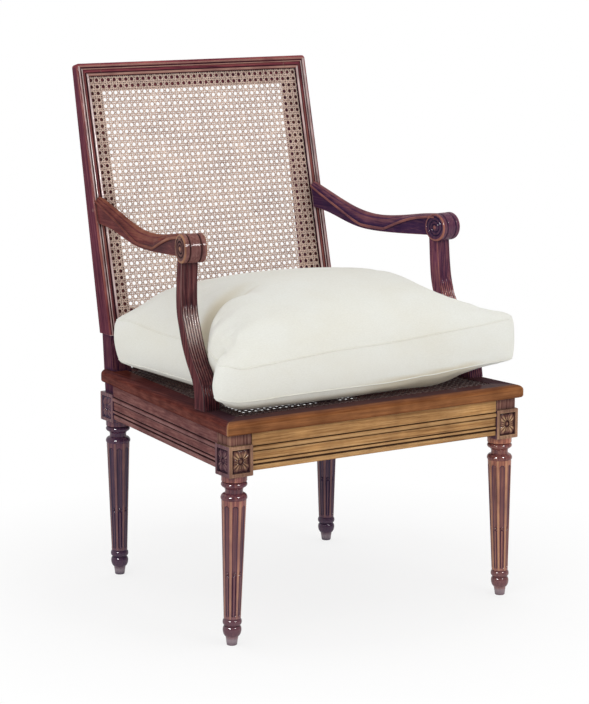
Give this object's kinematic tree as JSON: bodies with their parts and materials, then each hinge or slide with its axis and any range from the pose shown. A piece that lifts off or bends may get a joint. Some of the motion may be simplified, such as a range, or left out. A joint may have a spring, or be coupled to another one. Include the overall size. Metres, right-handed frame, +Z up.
{
  "type": "caned armchair",
  "caption": "Low caned armchair with turned fluted legs, moulded seat rails, a raked square caned back, scrolled arms on swept supports and a loose boxed cushion.",
  "frame": {"origin": "on the floor under the middle of the chair's box", "axes": "+Z up, the chair faces -Y, +X to the viewer's right from the front"},
  "size_m": [0.6026, 0.6244, 0.91],
  "materials": {
    "mahogany": "polished reddish-brown hardwood with dark grime in the recesses",
    "golden_mahogany": "polished golden-brown hardwood",
    "dark_mahogany": "polished dark reddish-brown hardwood",
    "peg_wood": "plain oiled hardwood",
    "cane": "aged woven cane",
    "cotton": "plain off-white woven cotton"
  },
  "bodies": {
    "chair": {"front_left_leg": "mahogany", "front_right_leg": "mahogany", "rear_left_leg": "mahogany", "rear_right_leg": "mahogany", "front_rail": "golden_mahogany", "rear_rail": "golden_mahogany", "left_side_rail": "mahogany", "right_side_rail": "mahogany", "front_rail_left_peg": "peg_wood", "front_rail_right_peg": "peg_wood", "rear_rail_left_peg": "peg_wood", "rear_rail_right_peg": "peg_wood", "left_rail_front_peg": "peg_wood", "left_rail_rear_peg": "peg_wood", "right_rail_front_peg": "peg_wood", "right_rail_rear_peg": "peg_wood", "seat_frame_front": "golden_mahogany", "seat_frame_left": "mahogany", "seat_frame_right": "mahogany", "seat_frame_rear": "mahogany", "seat_frame_rear_left_peg": "peg_wood", "seat_frame_rear_right_peg": "peg_wood", "seat_frame_left_dowel": "peg_wood", "seat_frame_right_dowel": "peg_wood", "crest_rail": "mahogany", "crest_rail_left_peg": "peg_wood", "crest_rail_right_peg": "peg_wood", "back_bottom_rail": "mahogany", "back_bottom_rail_left_peg": "peg_wood", "back_bottom_rail_right_peg": "peg_wood", "seat_cane": "cane", "back_cane": "cane", "left_arm": "dark_mahogany", "right_arm": "dark_mahogany", "left_arm_peg": "peg_wood", "right_arm_peg": "peg_wood", "left_arm_support": "dark_mahogany", "right_arm_support": "dark_mahogany"},
    "cushion": {"cushion": "cotton"}
  },
  "joints": [
    {"name": "cushion_lift", "type": "slide", "parent": "chair", "child": "cushion", "axis": [0, 0.2351, 0.972], "range_m": [0, 0.08]}
  ]
}
